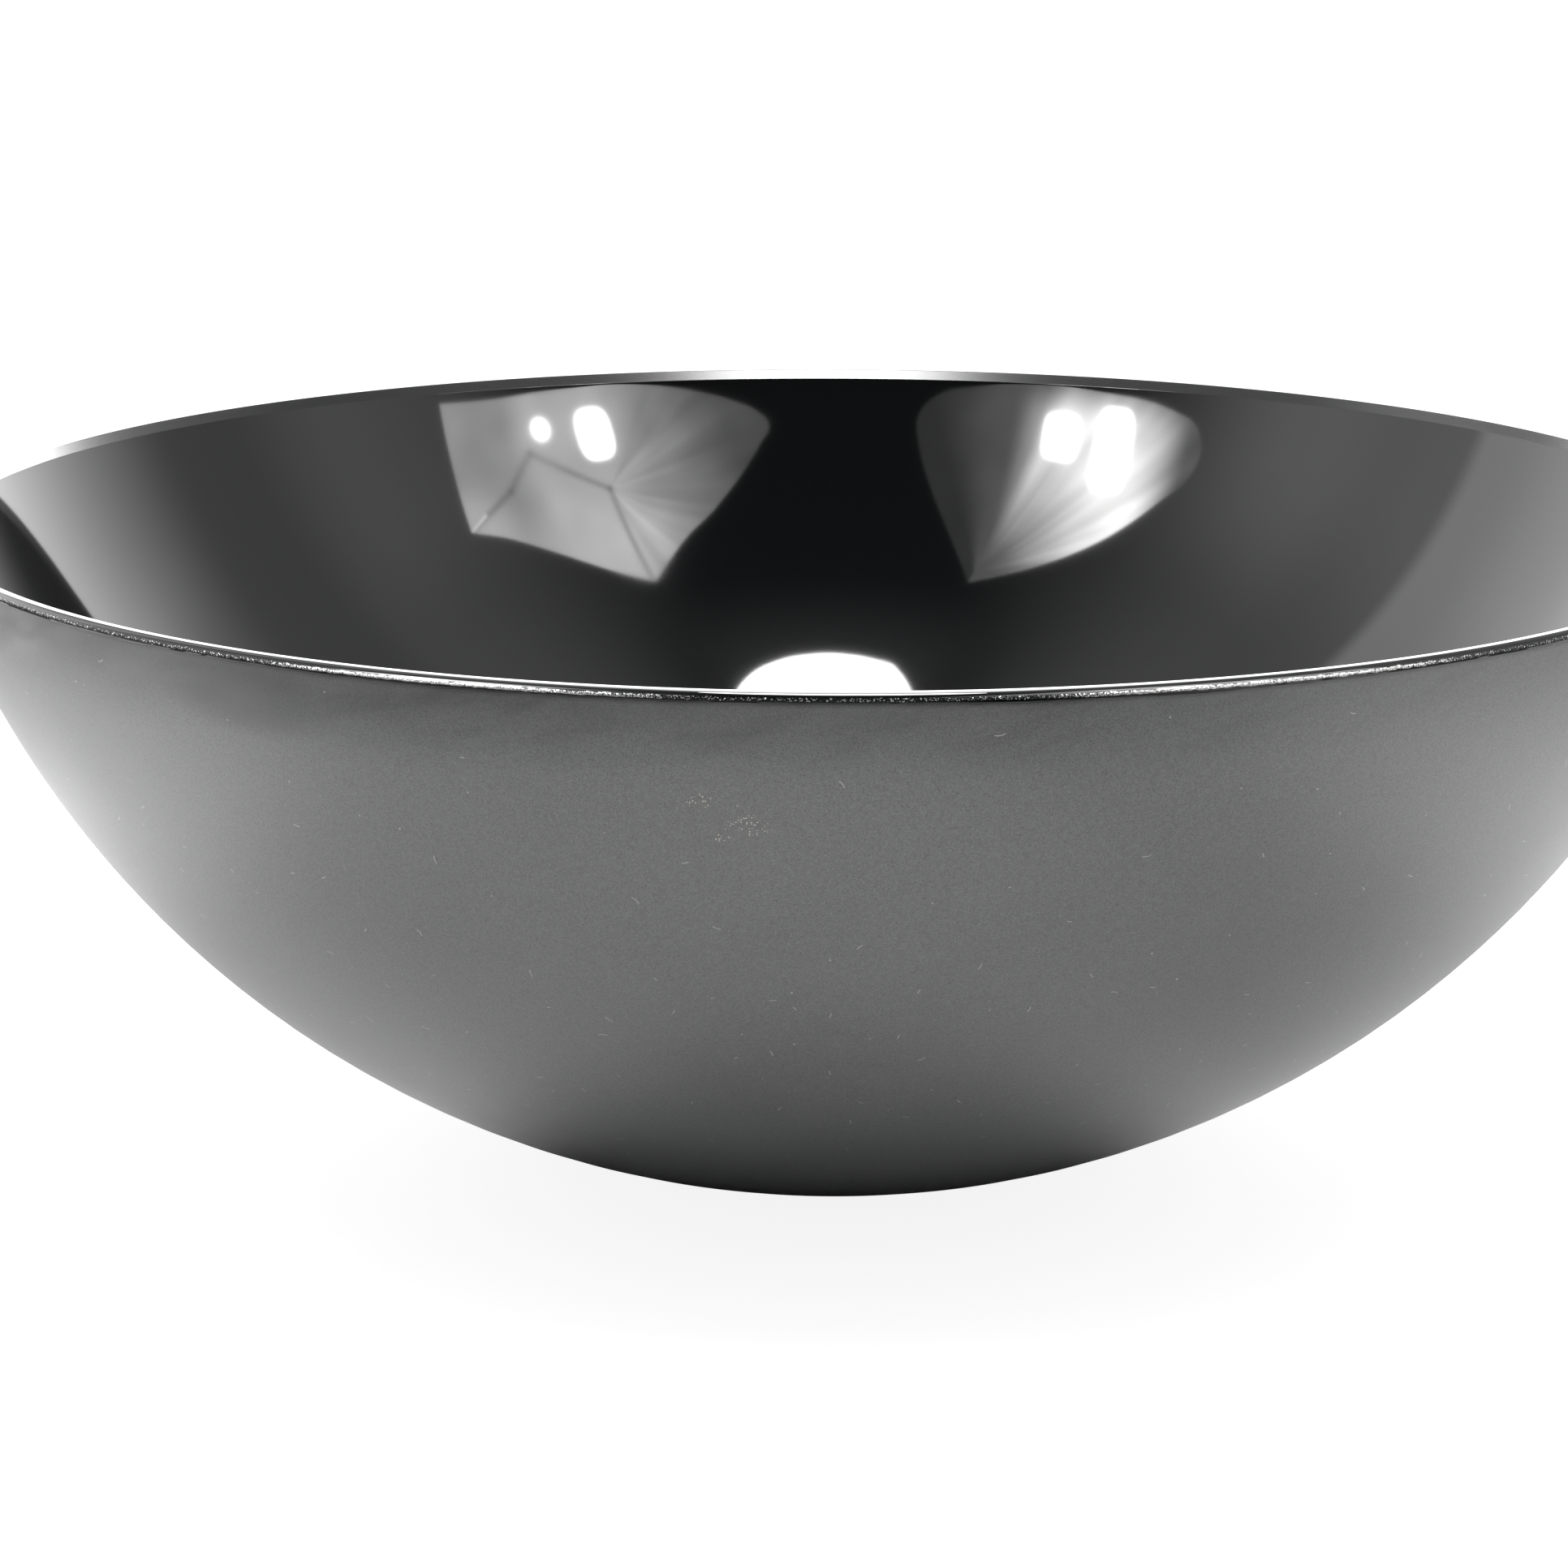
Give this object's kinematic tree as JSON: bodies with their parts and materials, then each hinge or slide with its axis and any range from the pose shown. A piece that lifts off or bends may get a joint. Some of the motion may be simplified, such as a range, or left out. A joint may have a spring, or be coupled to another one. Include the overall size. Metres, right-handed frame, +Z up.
{
  "type": "centerpiece bowl",
  "caption": "Wide round enamelled steel bowl with a gloss black lining that laps over a thin round rim, a matt charcoal outside and a flat base.",
  "frame": {"origin": "middle of the flat standing face under the base", "axes": "+Z up along the bowl's axis of revolution; +X and +Y are alike, and -Y is the side the picture looks from"},
  "size_m": [0.38, 0.38, 0.145],
  "materials": {
    "steel": "pressed sheet steel, bare only under the coats",
    "matt_enamel": "matt charcoal vitreous enamel with a fine grain",
    "gloss_enamel": "mirror-gloss black vitreous enamel"
  },
  "bodies": {
    "root": {"steel_shell": "steel", "outer_matt_enamel": "matt_enamel", "inner_gloss_enamel": "gloss_enamel"}
  },
  "joints": []
}
